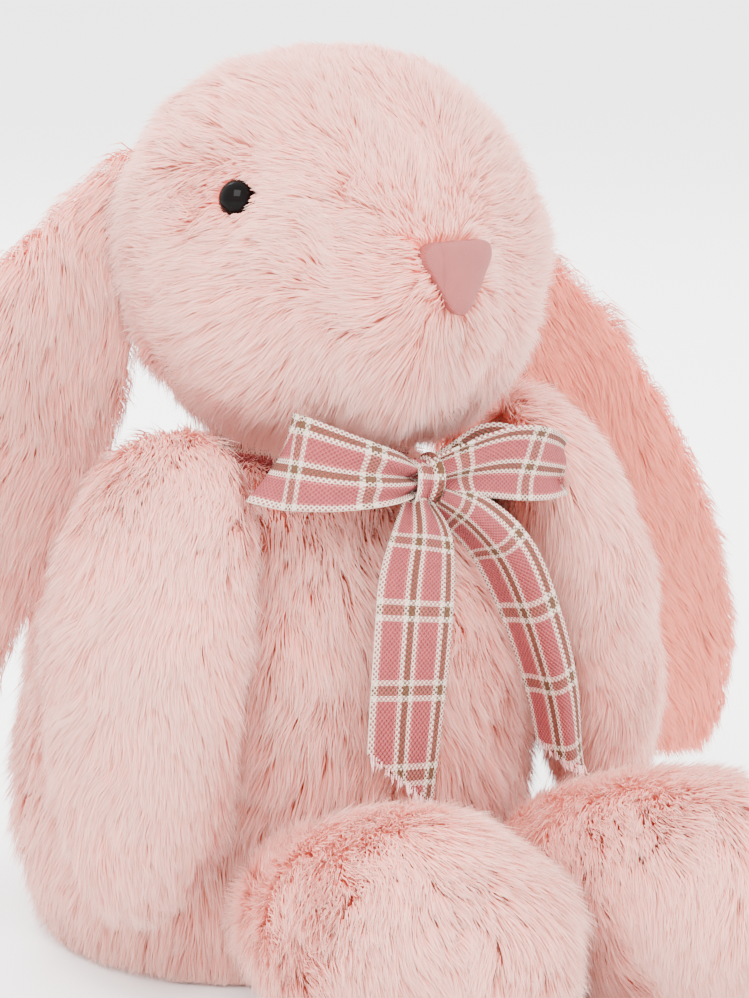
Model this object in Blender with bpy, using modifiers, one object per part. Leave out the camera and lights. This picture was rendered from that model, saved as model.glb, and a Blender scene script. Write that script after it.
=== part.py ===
"""A stuffed rabbit with long lop ears, sitting, with a ribbon bow tied at its neck.

Every physical piece is a closed solid of its own. Fur fabric is a shell as thick as the cloth and its
pile, open at the end where it is sewn on, and the filling inside it is a separate solid.
Metres, +Z up. The rabbit faces -Y, its left is +X, and its flat seat lies on z = 0.
"""
from math import cos, exp, hypot, pi, radians, sin, sqrt

import bmesh
import bpy
from mathutils import Matrix, Vector

# Clearances and fabric
GAP = 0.0003
PILE = 0.0060
FILL_INSET = PILE + 2 * GAP
RIBBON = 0.0009

# Torso: an egg with a flat seat, leaning forward towards the neck
TORSO_RADIUS = 0.075
TORSO_WIDEST_Z = 0.058
TORSO_RISE = 0.097
TORSO_DROP = 0.090
TORSO_SQUARENESS = 2.4
TORSO_LEAN = 0.015
PELLET_TOP = 0.032
PELLET_RADIUS = 0.046

# Neck ball, where the head meets the torso
NECK = Vector((0.0, -0.018, 0.150))
NECK_RADIUS = 0.020
NECK_CLEARANCE = 0.0030
NECK_SOCKET_GAP = 0.0012

# Head
HEAD_CENTRE = Vector((0.0, -0.030, 0.211))
HEAD_RADII = Vector((0.061, 0.060, 0.059))
MUZZLE_AXIS = Vector((0.0, -1.0, -0.42)).normalized()
MUZZLE_RISE = 0.006
MUZZLE_SPREAD = 0.45
EYE_AZIMUTH = radians(62.0)
EYE_HEIGHT = 0.35
EYE_RADIUS = 0.0055
EYE_DOME = 0.0042
EYE_SINK = 0.0030
STEM_RADIUS = 0.0018
STEM_LENGTH = 0.0120
WASHER_RADIUS = 0.0070
WASHER_DEPTH = 0.0076
WASHER_THICKNESS = 0.0016
NOSE_RADIUS = 0.0110
NOSE_STAND = 0.0016
NOSE_PAD_THICKNESS = 0.0012
NOSE_CLOTH_THICKNESS = 0.0008

# Ears: root, bend and tip of the middle line, left side
EAR_ROOT = Vector((0.0545, 0.012, 0.248))
EAR_BEND = Vector((0.091, 0.014, 0.150))
EAR_TIP = Vector((0.168, 0.030, 0.030))
EAR_OUT = {1: Vector((0.022, 0.0, 0.0)), -1: Vector((0.0, 0.0, 0.0))}
EAR_WIDTH_ROOT = 0.028
EAR_WIDTH_GAIN = 0.022
EAR_DEPTH = 0.011

# Arms: middle line by distance from the torso's axis and height
ARM_AZIMUTH = radians(59.0)
ARM_TOP = (0.067, 0.163)
ARM_BEND = (0.096, 0.128)
ARM_END = (0.095, 0.032)
ARM_HALF_WIDTH = 0.029
ARM_HALF_DEPTH = 0.019

# Legs and feet: middle line, left side
LEG_BACK = Vector((0.0435, -0.0660, 0.030))
LEG_FRONT = Vector((0.0435, -0.187, 0.037))
LEG_HALF_WIDTH = 0.030
FOOT_GAIN_WIDTH = 0.013
LEG_HALF_HEIGHT = 0.028
FOOT_GAIN_HEIGHT = 0.011

# Tail
TAIL_CENTRE = Vector((0.0, 0.0920, 0.036))
TAIL_RADII = Vector((0.027, 0.0165, 0.027))

# Ribbon: neck band and bow
RIBBON_WIDTH = 0.025
BAND_OPENING = 0.004
BAND_CENTRE = Vector((0.0, -0.022, 0.153))
BAND_RADIUS = 0.046
BAND_HEIGHT = 0.011
KNOT_CENTRE = Vector((0.0, -0.0775, 0.148))
KNOT_SIZE = Vector((0.009, 0.012, 0.015))
LOOP_LENGTH = 0.048
LOOP_WIDTH = 0.021
LOOP_SPREAD = 0.0045
LOOP_TILT = {1: radians(2.0), -1: radians(14.0)}
TAIL_TOPS = {1: Vector((0.0145, -0.0790, 0.1300)), -1: Vector((-0.0080, -0.0790, 0.1300))}
TAIL_ENDS = {1: Vector((0.050, -0.0800, 0.060)), -1: Vector((-0.014, -0.0880, 0.062))}

SIDES = {"left": 1, "right": -1}
BIG = (22, 13)
LIMB = (16, 11)
SMALL = (14, 8)

FUR = (0.90, 0.62, 0.58, 1.0)
LINING = (0.86, 0.47, 0.41, 1.0)
FILLING = (0.93, 0.93, 0.91, 1.0)
CLOTH_PINK = (0.60, 0.30, 0.28, 1.0)
RIBBON_PINK = (0.62, 0.22, 0.24, 1.0)
BLACK = (0.01, 0.01, 0.01, 1.0)
CALICO = (0.80, 0.74, 0.64, 1.0)
WHITE_PLASTIC = (0.85, 0.85, 0.83, 1.0)


def clear_scene():
    """Removes every object, so that the model starts empty."""
    for obj in list(bpy.data.objects):
        bpy.data.objects.remove(obj, do_unlink=True)


def make_collection(name):
    """A collection linked under the scene's own."""
    collection = bpy.data.collections.new(name)
    bpy.context.scene.collection.children.link(collection)
    return collection


def add_object(name, mesh, collection, colour=None, roughness=0.9):
    """An object in a collection, with a Principled material of its own where it has a colour."""
    obj = bpy.data.objects.new(name, mesh)
    collection.objects.link(obj)
    if colour is not None:
        material = bpy.data.materials.new(name)
        material.use_nodes = True
        shader = material.node_tree.nodes["Principled BSDF"]
        shader.inputs["Base Color"].default_value = colour
        shader.inputs["Roughness"].default_value = roughness
        shader.inputs["Metallic"].default_value = 0.0
        mesh.materials.append(material)
    return obj


def finish_mesh(name, bm, smooth=True):
    """Turns a bmesh into a mesh with outward faces."""
    bm.normal_update()
    bmesh.ops.recalc_face_normals(bm, faces=bm.faces)
    mesh = bpy.data.meshes.new(name)
    bm.to_mesh(mesh)
    bm.free()
    if smooth:
        mesh.shade_smooth()
    return mesh


def form(shape, detail, inset=0.0, mouth=None):
    """A unit sphere carried into a soft form.

    shape maps a point of the unit sphere to its place, inset draws the surface in along its normals,
    and mouth removes the faces beyond that height of the unit sphere: above it, or below if negative.
    """
    segments, rings = detail
    bm = bmesh.new()
    bmesh.ops.create_uvsphere(bm, u_segments=segments, v_segments=rings, radius=1.0)
    open_end = []
    if mouth is not None:
        level = abs(mouth) - 1e-5
        way = 1 if mouth > 0 else -1
        open_end = [f for f in bm.faces if all(v.co.z * way >= level for v in f.verts)]
    for vert in bm.verts:
        vert.co = shape(vert.co.copy())
    bm.normal_update()
    bmesh.ops.recalc_face_normals(bm, faces=bm.faces)
    bm.normal_update()
    if inset:
        moved = [vert.co - vert.normal * inset for vert in bm.verts]
        for vert, place in zip(bm.verts, moved):
            vert.co = place
    if open_end:
        bmesh.ops.delete(bm, geom=open_end, context="FACES")
    return bm


def open_form_mesh(name, bm):
    """A mesh from an open form whose faces already point out."""
    mesh = bpy.data.meshes.new(name)
    bm.to_mesh(mesh)
    bm.free()
    mesh.shade_smooth()
    return mesh


def add_skin(name, shape, detail, mouth, parts, colour=FUR):
    """A shell of fur fabric, open at its sewn end."""
    mesh = open_form_mesh(name, form(shape, detail, mouth=mouth))
    obj = add_object(name, mesh, parts, colour)
    wall = obj.modifiers.new("fabric", "SOLIDIFY")
    wall.thickness = PILE
    wall.offset = -1.0
    wall.use_rim = True
    return obj


def add_filling(name, shape, detail, parts, colour=FILLING, inset=FILL_INSET):
    """A closed solid that fills a skin."""
    return add_object(name, finish_mesh(name, form(shape, detail, inset=inset)), parts, colour)


def cut(obj, *tools):
    """Subtracts each tool from the object."""
    for tool in tools:
        step = obj.modifiers.new("cut_" + tool.name, "BOOLEAN")
        step.operation = "DIFFERENCE"
        step.solver = "EXACT"
        step.object = tool


def add_cutter(name, bm, cutters):
    """A closed tool for a cut, shown as a wire."""
    obj = add_object(name, finish_mesh(name, bm, smooth=False), cutters)
    obj.hide_render = True
    obj.display_type = "WIRE"
    return obj


def ball(centre, radius, detail):
    """A sphere as a bmesh."""
    return form(lambda p: centre + p * radius, detail)


def along(centre, direction):
    """The matrix that carries +Z onto a direction at a centre."""
    return Matrix.Translation(centre) @ direction.to_track_quat("Z", "Y").to_matrix().to_4x4()


def rod(matrix, radius, low, high, segments=16):
    """A cylinder from low to high along the matrix's own Z."""
    bm = bmesh.new()
    shift = Matrix.Translation((0.0, 0.0, (low + high) / 2))
    bmesh.ops.create_cone(
        bm, cap_ends=True, segments=segments, radius1=radius, radius2=radius,
        depth=high - low, matrix=matrix @ shift,
    )
    return bm


def bezier(a, b, c, t):
    """A point on the quadratic curve from a to c with its bend at b."""
    return a * (1 - t) ** 2 + b * (2 * t * (1 - t)) + c * t**2


def bezier_direction(a, b, c, t):
    """The unit direction of travel on that curve."""
    return ((b - a) * (1 - t) + (c - b) * t).normalized()


def smooth(t):
    """Eases from 0 to 1."""
    return t * t * (3 - 2 * t)


def torso_shape(p):
    """The torso's surface: round in plan, a squarish egg in height, flat where it sits."""
    rise = TORSO_RISE if p.z > 0 else TORSO_DROP
    z = TORSO_WIDEST_Z + p.z * rise
    power = TORSO_SQUARENESS
    radius = TORSO_RADIUS * max(0.0, 1 - abs(p.z) ** power) ** (1 / power)
    level = max(1e-9, hypot(p.x, p.y))
    top = TORSO_WIDEST_Z + TORSO_RISE
    lean = -TORSO_LEAN * (max(0.0, z) / top) ** 2
    return Vector((radius * p.x / level, radius * p.y / level + lean, max(0.0, z)))


def head_shape(p):
    """The head's surface: a round head with a low, soft muzzle."""
    angle = p.angle(MUZZLE_AXIS)
    rise = MUZZLE_RISE * exp(-((angle / MUZZLE_SPREAD) ** 2))
    return HEAD_CENTRE + Vector((p.x * HEAD_RADII.x, p.y * HEAD_RADII.y, p.z * HEAD_RADII.z)) + p * rise


def ear_shape(side, face):
    """Half of a flat ear: face 1 is the half behind and face -1 the half in front."""
    bend, tip = EAR_BEND + EAR_OUT[side], EAR_TIP + EAR_OUT[side]

    def shape(p):
        t = (1 - p.z) / 2
        middle = bezier(EAR_ROOT, bend, tip, t)
        run = bezier_direction(EAR_ROOT, bend, tip, t)
        across = Vector((-run.z, 0.0, run.x)).normalized()
        width = EAR_WIDTH_ROOT + EAR_WIDTH_GAIN * t
        depth = face * (GAP / 2 + max(0.0, face * p.y) * EAR_DEPTH)
        place = middle + across * (p.x * width)
        return Vector((side * place.x, place.y + depth, place.z))

    return shape


def arm_frame(t):
    """The arm's middle line at t on the left side, as distance from the torso's axis and height."""
    reach = (1 - t) ** 2 * ARM_TOP[0] + 2 * t * (1 - t) * ARM_BEND[0] + t**2 * ARM_END[0]
    height = (1 - t) ** 2 * ARM_TOP[1] + 2 * t * (1 - t) * ARM_BEND[1] + t**2 * ARM_END[1]
    return reach, height


def arm_shape(side):
    """A round-ended arm that hangs beside the torso."""
    out = Vector((sin(ARM_AZIMUTH), -cos(ARM_AZIMUTH), 0.0))
    forward = Vector((-cos(ARM_AZIMUTH), -sin(ARM_AZIMUTH), 0.0))

    def shape(p):
        t = (1 - p.z) / 2
        reach, height = arm_frame(t)
        full = hypot(p.x, p.y)
        plump = full ** 0.75 / max(full, 1e-9)
        place = out * (reach + p.x * plump * ARM_HALF_DEPTH) + forward * (p.y * plump * ARM_HALF_WIDTH)
        return Vector((side * place.x, place.y - TORSO_LEAN / 2, height))

    return shape


def leg_shape(side):
    """A short leg that widens into a big round foot, flat where it rests."""

    def shape(p):
        t = (1 - p.z) / 2
        middle = LEG_BACK.lerp(LEG_FRONT, t)
        width = LEG_HALF_WIDTH + FOOT_GAIN_WIDTH * smooth(t)
        height = LEG_HALF_HEIGHT + FOOT_GAIN_HEIGHT * smooth(t)
        return Vector((side * (middle.x + p.x * width), middle.y, max(0.0, middle.z + p.y * height)))

    return shape


def tail_shape(p):
    """The round tail, with its sewn end towards the torso."""
    return TAIL_CENTRE + Vector((p.x * TAIL_RADII.x, -p.z * TAIL_RADII.y, p.y * TAIL_RADII.z))


def pellet_shape(p):
    """A flat round bag that fills the bottom of the torso."""
    low = PILE + 2 * GAP
    high = PELLET_TOP - GAP
    return Vector((p.x * PELLET_RADIUS, p.y * PELLET_RADIUS, (low + high) / 2 + p.z * (high - low) / 2))


def add_turned(name, profile, matrix, parts, colour, roughness, steps=18):
    """A turned piece: its profile runs down the outer side, in the piece's own X and Z."""
    mesh = bpy.data.meshes.new(name)
    edges = [(i, i + 1) for i in range(len(profile) - 1)]
    mesh.from_pydata([(x, 0.0, z) for x, z in profile], edges, [])
    obj = add_object(name, mesh, parts, colour, roughness)
    obj.matrix_world = matrix
    turn = obj.modifiers.new("turn", "SCREW")
    turn.angle = 2 * pi
    turn.steps = steps
    turn.render_steps = steps
    turn.use_merge_vertices = True
    turn.merge_threshold = 0.00005
    weld = obj.modifiers.new("weld", "WELD")
    weld.merge_threshold = 0.00005
    turn.use_smooth_shade = False
    return obj


def add_strip(name, route, across, width, steps, parts, colour, thickness=RIBBON):
    """A length of ribbon: a flat grid laid along a route, with the ribbon's thickness."""
    bm = bmesh.new()
    bmesh.ops.create_grid(bm, x_segments=steps, y_segments=2, size=1.0)
    for vert in bm.verts:
        t = (vert.co.x + 1) / 2
        vert.co = route(t) + across(t) * (vert.co.y * width / 2)
    mesh = open_form_mesh(name, bm)
    obj = add_object(name, mesh, parts, colour, 0.8)
    wall = obj.modifiers.new("cloth", "SOLIDIFY")
    wall.thickness = thickness
    wall.offset = 0.0
    return obj


def head_point(direction):
    """The place on the head's surface in a direction, and the outward direction there."""
    p = direction.normalized()
    normal = Vector((p.x / HEAD_RADII.x, p.y / HEAD_RADII.y, p.z / HEAD_RADII.z)).normalized()
    return head_shape(p), normal


def build_torso(parts, cutters):
    """The torso's fabric, its filling and the bag of pellets that keeps it sitting."""
    neck_tool = add_cutter("neck_tool", ball(NECK, NECK_RADIUS + NECK_SOCKET_GAP, SMALL), cutters)
    neck_mouth = add_cutter("neck_mouth", ball(NECK, NECK_RADIUS + NECK_CLEARANCE, SMALL), cutters)
    cut(add_skin("torso_skin", torso_shape, BIG, 0.96, parts), neck_mouth)
    filling = add_filling("torso_stuffing", torso_shape, BIG, parts)
    seat_tool = bmesh.new()
    bmesh.ops.create_cube(seat_tool, size=1.0, matrix=Matrix.Diagonal((0.3, 0.3, 2 * PELLET_TOP, 1.0)))
    cut(filling, neck_tool, add_cutter("seat_tool", seat_tool, cutters))
    add_object("pellet_bag", finish_mesh("pellet_bag", form(pellet_shape, LIMB)), parts, CALICO)
    add_object("neck_core", finish_mesh("neck_core", ball(NECK, NECK_RADIUS, SMALL)), parts, FILLING)
    return neck_tool, neck_mouth


def build_head(parts, cutters, neck_tool, neck_mouth):
    """The head's fabric and filling, with the sockets for its eyes."""
    skin = add_skin("head_skin", head_shape, BIG, -0.88, parts)
    filling = add_filling("head_stuffing", head_shape, BIG, parts)
    cut(filling, neck_tool)
    cut(skin, neck_mouth)
    for word, side in SIDES.items():
        level = sqrt(1 - EYE_HEIGHT**2)
        way = Vector((side * sin(EYE_AZIMUTH) * level, -cos(EYE_AZIMUTH) * level, EYE_HEIGHT))
        place, normal = head_point(way)
        axis = along(place, normal)
        pocket = rod(axis, EYE_RADIUS + 2 * GAP, -EYE_SINK - GAP, 0.02)
        hole = rod(axis, STEM_RADIUS + GAP, -0.02, 0.0)
        room = rod(axis, WASHER_RADIUS + 2 * GAP, -EYE_SINK - STEM_LENGTH - 2 * GAP, 0.0)
        cut(skin, add_cutter("eye_pocket_" + word, pocket, cutters))
        cut(skin, add_cutter("eye_hole_" + word, hole, cutters))
        cut(filling, add_cutter("washer_room_" + word, room, cutters))
        build_eye(word, axis, parts)


def build_eye(word, axis, parts):
    """A domed eye on its stem, and the washer that locks it inside the head."""
    arc = [(EYE_RADIUS * sin(a), EYE_DOME * cos(a) - EYE_SINK) for a in (i * pi / 16 for i in range(9))]
    foot = -EYE_SINK - STEM_LENGTH
    profile = arc + [(STEM_RADIUS, -EYE_SINK), (STEM_RADIUS, foot), (0.0, foot)]
    profile[0] = (0.0, EYE_DOME - EYE_SINK)
    profile[8] = (EYE_RADIUS, -EYE_SINK)
    add_turned("eye_" + word, profile, axis, parts, BLACK, 0.08)
    inner, outer = STEM_RADIUS + GAP, WASHER_RADIUS
    high, low = -WASHER_DEPTH, -WASHER_DEPTH - WASHER_THICKNESS
    ring = [(inner, high), (outer, high), (outer, low), (inner, low), (inner, high)]
    add_turned("eye_washer_" + word, ring, axis, parts, WHITE_PLASTIC, 0.4)


def build_nose(parts):
    """The nose: a soft triangle of cloth over a thin pad, point down, flat side up."""
    front = head_shape(Vector((0.0, -1.0, 0.0))) + Vector((0.0, -NOSE_STAND, 0.0))
    layers = (
        ("nose_padding", 0.8, 2 * GAP, NOSE_PAD_THICKNESS, FILLING),
        ("nose_patch", 1.0, 3 * GAP + NOSE_PAD_THICKNESS, NOSE_CLOTH_THICKNESS, CLOTH_PINK),
    )
    for name, scale, start, thickness, colour in layers:
        bm = rod(along(front, Vector((0.0, -1.0, 0.0))), NOSE_RADIUS * scale, start, start + thickness, 24)
        for vert in bm.verts:
            turn = Vector((vert.co.x - front.x, vert.co.z - front.z))
            corner = cos(3 * (Vector((0.0, -1.0)).angle_signed(turn)))
            turn *= 0.94 + 0.17 * corner
            vert.co.x, vert.co.z = front.x + turn.x, front.z + turn.y
        add_object(name, finish_mesh(name, bm, smooth=False), parts, colour, 0.6)


def build_limbs(parts):
    """Ears, arms and legs on both sides, and the tail. The right ear's back is turned to the front."""
    for word, side in SIDES.items():
        for name, face, colour in (("ear_back_", side, FUR), ("ear_lining_", -side, LINING)):
            bm = form(ear_shape(side, face), LIMB)
            add_object(name + word, finish_mesh(name + word, bm), parts, colour)
        add_skin("arm_skin_" + word, arm_shape(side), LIMB, 0.95, parts)
        add_filling("arm_stuffing_" + word, arm_shape(side), LIMB, parts)
        add_skin("leg_skin_" + word, leg_shape(side), LIMB, 0.95, parts)
        add_filling("leg_stuffing_" + word, leg_shape(side), LIMB, parts)
    add_skin("tail_skin", tail_shape, SMALL, 0.90, parts)
    add_filling("tail_stuffing", tail_shape, SMALL, parts)


def loop_route(side):
    """The middle line of one loop of the bow: out along the back, round the fold, home at the front."""
    clear = KNOT_SIZE.x / 2 + 2 * GAP + LOOP_WIDTH / 2 * sin(LOOP_TILT[side])
    start = KNOT_CENTRE + Vector((side * clear, 0.0, 0.0))
    out = Vector((side * cos(LOOP_TILT[side]), 0.0, sin(LOOP_TILT[side])))

    def route(t):
        turn = 2 * pi * t
        reach = LOOP_LENGTH * (1 - cos(turn)) / 2
        swell = LOOP_SPREAD * sin(turn) + RIBBON * 1.4 * cos(turn / 2)
        return start + out * reach + Vector((0.0, swell, 0.0))

    return route


def tail_route(side):
    """The middle line of a hanging tail of the bow."""
    top = TAIL_TOPS[side]
    end = TAIL_ENDS[side]
    bend = Vector(((top.x + end.x) / 2, min(top.y, end.y) - 0.009, (top.z + end.z) / 2 + 0.012))
    return lambda t: bezier(top, bend, end, t)


def band_route(t):
    """The band's middle line round the neck, with a narrow opening behind the knot."""
    turn = 2 * pi * (BAND_OPENING + (1 - 2 * BAND_OPENING) * t)
    return BAND_CENTRE + Vector((sin(turn), -cos(turn), 0.0)) * BAND_RADIUS


def steady(lean):
    """A ribbon's direction of width where it is the same all the way along."""
    return lambda t: lean


def build_bow(parts):
    """The ribbon: a band round the neck, a knot, two loops and two tails."""
    upright = steady(Vector((0.0, 0.0, 1.0)))
    add_strip("neck_band", band_route, upright, BAND_HEIGHT, 36, parts, RIBBON_PINK)
    knot = bmesh.new()
    size = Matrix.Diagonal((*KNOT_SIZE, 1.0))
    bmesh.ops.create_cube(knot, size=1.0, matrix=Matrix.Translation(KNOT_CENTRE) @ size)
    knot_obj = add_object("bow_knot", finish_mesh("bow_knot", knot), parts, RIBBON_PINK, 0.8)
    soft = knot_obj.modifiers.new("soft", "BEVEL")
    soft.width = 0.0030
    soft.segments = 3
    for word, side in SIDES.items():
        tilt = LOOP_TILT[side]
        lean = Vector((-side * sin(tilt), 0.0, cos(tilt)))
        add_strip("bow_loop_" + word, loop_route(side), steady(lean), LOOP_WIDTH, 26, parts, RIBBON_PINK)
        end = TAIL_ENDS[side]
        down = end - TAIL_TOPS[side]
        down = Vector((down.x, 0.0, down.z)).normalized()
        level = Vector((-down.z, 0.0, down.x))
        width = RIBBON_WIDTH if side < 0 else 0.6 * RIBBON_WIDTH
        add_strip("bow_tail_" + word, tail_route(side), steady(level), width, 14, parts, RIBBON_PINK)


def main():
    """Builds the rabbit."""
    clear_scene()
    parts = make_collection("stuffed_rabbit")
    cutters = make_collection("cutters")
    neck_tools = build_torso(parts, cutters)
    build_head(parts, cutters, *neck_tools)
    build_nose(parts)
    build_limbs(parts)
    build_bow(parts)


main()
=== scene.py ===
"""Looks of a seated plush rabbit: long pile over sewn fabric, bead eyes, a cloth nose and a woven check bow.

Each stuffed part is a sewn skin with a coat of separate hair blades combed along it. The blades are laid by
arithmetic and not by modelling operators, because there are several hundred thousand of them; the skins, the
nose, the eyes and the ribbon start as primitives and are shaped from there.
"""

import logging
from collections.abc import Callable
from dataclasses import dataclass, field
from enum import Enum
from math import cos, pi, radians, sin
from typing import Any

import bmesh
import bpy
import numpy as np
from mathutils import Matrix, Vector, kdtree


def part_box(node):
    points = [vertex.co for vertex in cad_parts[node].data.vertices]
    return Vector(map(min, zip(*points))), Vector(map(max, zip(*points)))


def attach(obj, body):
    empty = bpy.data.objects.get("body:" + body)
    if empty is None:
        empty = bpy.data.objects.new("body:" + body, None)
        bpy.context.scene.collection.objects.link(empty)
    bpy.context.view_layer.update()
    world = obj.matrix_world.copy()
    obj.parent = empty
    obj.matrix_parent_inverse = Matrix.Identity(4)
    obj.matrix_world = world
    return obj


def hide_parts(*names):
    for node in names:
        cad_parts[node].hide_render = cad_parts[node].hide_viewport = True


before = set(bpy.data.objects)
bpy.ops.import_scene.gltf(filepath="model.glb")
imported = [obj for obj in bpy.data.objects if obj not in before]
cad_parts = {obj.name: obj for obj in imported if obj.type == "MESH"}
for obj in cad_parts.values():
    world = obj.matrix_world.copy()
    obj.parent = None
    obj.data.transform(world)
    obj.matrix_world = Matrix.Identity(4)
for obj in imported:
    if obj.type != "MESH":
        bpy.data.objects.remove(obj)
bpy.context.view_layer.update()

log = logging.getLogger("rabbit")
Array = np.ndarray
Surface = Callable[[Array], Array]
Triple = tuple[float, float, float]

# Sizes that several pieces share, in metres and radians
FABRIC_DEPTH = 0.0052
FABRIC_CLEARANCE = 0.0010
HAIR_CLEARANCE = 0.0004
SEAT_HEIGHT = 0.012
EYE_AZIMUTH = radians(62.0)
EYE_HEIGHT = 0.35
NECK_LEAN = 0.015
RIBBON_WIDTH = 0.025
FOLDED_WIDTH = 0.0125
RIBBON_THICKNESS = 0.0007
CHECK_REPEAT = 0.0212
YARN = 0.00145

# One blade of hair: its points, the corners of its two faces, and where each corner lies on the shared map
BLADE_POINTS = 5
BLADE_FACES = 2
BLADE_CORNERS = np.array([0, 1, 2, 3, 3, 2, 4])
BLADE_ACROSS = np.array([-1, 1, 1, -1, -1, 1, 0]) * 0.004
BLADE_ALONG = np.array([0.02, 0.02, 0.5, 0.5, 0.5, 0.5, 0.98])


class Side(Enum):
    """The rabbit's own left and right, with the sign of X there."""

    LEFT = 1
    RIGHT = -1

    @property
    def word(self) -> str:
        """The side's name as the parts use it."""
        return self.name.lower()


# ---------------------------------------------------------------- small maths


def smooth(t: Array) -> Array:
    """Eases from 0 to 1 over the unit interval."""
    t = np.clip(t, 0.0, 1.0)
    return t * t * (3.0 - 2.0 * t)


def unit(v: Array) -> Array:
    """Rows of v at length one."""
    return v / np.maximum(np.linalg.norm(v, axis=-1, keepdims=True), 1e-12)


def box_facts(node: str) -> tuple[Array, Array]:
    """The centre and half-size of a node's box.

    Args:
        node: the CAD node's name.

    Returns:
        The centre and the half-size, each as three metres.
    """
    low, high = (np.array(corner, dtype=float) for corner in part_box(node))
    return (low + high) / 2, (high - low) / 2


def ripple(points: Array, size: float, seed: int, waves: int = 7) -> Array:
    """Soft repeatable noise from crossed sine waves.

    Args:
        points: places to read it at, in metres.
        size: the width of one swell, in metres.
        seed: picks the waves.
        waves: how many waves are summed.

    Returns:
        One value for each place, from about -1 to 1.
    """
    rng = np.random.default_rng(seed)
    total = np.zeros(len(points))
    for _ in range(waves):
        way = unit(rng.normal(size=(1, 3)))[0]
        pitch = size * rng.uniform(0.7, 1.5)
        total += np.sin(points @ way * (pi / pitch) + rng.uniform(0, 2 * pi))
    return np.clip(total / np.sqrt(waves), -1.0, 1.0)


def ripple_vector(points: Array, size: float, seed: int) -> Array:
    """Three independent ripples as a vector for each place."""
    return np.stack([ripple(points, size, seed + 31 * axis) for axis in range(3)], axis=1)


def bezier(a: Array, b: Array, c: Array, t: Array) -> Array:
    """Points at t on the quadratic curve from a to c with its bend at b."""
    t = np.asarray(t)[..., None]
    return a * (1 - t) ** 2 + b * (2 * t * (1 - t)) + c * t**2


# ---------------------------------------------------------------- shader writing


class Term:
    """A value in a material, so that shader maths reads as ordinary expressions."""

    def __init__(self, tree: bpy.types.NodeTree, socket: Any) -> None:
        """Wraps an output socket or a plain number."""
        self.tree = tree
        self.socket = socket

    def _math(self, operation: str, *values: Any) -> "Term":
        """One Math node on these values.

        Args:
            operation: the node's operation.
            values: terms or plain values for its sockets.

        Returns:
            The node's result.
        """
        node = self.tree.nodes.new("ShaderNodeMath")
        node.operation = operation
        for place, value in zip(node.inputs, values):
            plug(self.tree, place, value)
        return Term(self.tree, node.outputs[0])

    def __add__(self, other: Any) -> "Term":
        """Sum."""
        return self._math("ADD", self, other)

    def __radd__(self, other: Any) -> "Term":
        """Sum with a number first."""
        return self._math("ADD", other, self)

    def __sub__(self, other: Any) -> "Term":
        """Difference."""
        return self._math("SUBTRACT", self, other)

    def __rsub__(self, other: Any) -> "Term":
        """Difference with a number first."""
        return self._math("SUBTRACT", other, self)

    def __mul__(self, other: Any) -> "Term":
        """Product."""
        return self._math("MULTIPLY", self, other)

    def __rmul__(self, other: Any) -> "Term":
        """Product with a number first."""
        return self._math("MULTIPLY", other, self)

    def __truediv__(self, other: Any) -> "Term":
        """Quotient."""
        return self._math("DIVIDE", self, other)

    def sine(self) -> "Term":
        """Sine of this value."""
        return self._math("SINE", self)

    def fraction(self) -> "Term":
        """What is left above the whole number below."""
        return self._math("FRACT", self)

    def size(self) -> "Term":
        """The value without its sign."""
        return self._math("ABSOLUTE", self)

    def above(self, edge: Any) -> "Term":
        """1 where this value is over the edge, else 0."""
        return self._math("GREATER_THAN", self, edge)

    def most(self, other: Any) -> "Term":
        """The greater of two values."""
        return self._math("MAXIMUM", self, other)


def plug(tree: bpy.types.NodeTree, place: Any, value: Any) -> None:
    """Links a term to a socket, or sets a plain value on it.

    Args:
        tree: the material's nodes.
        place: the socket.
        value: a term or a plain value.
    """
    if isinstance(value, Term):
        tree.links.new(value.socket, place)
    else:
        place.default_value = value


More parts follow.
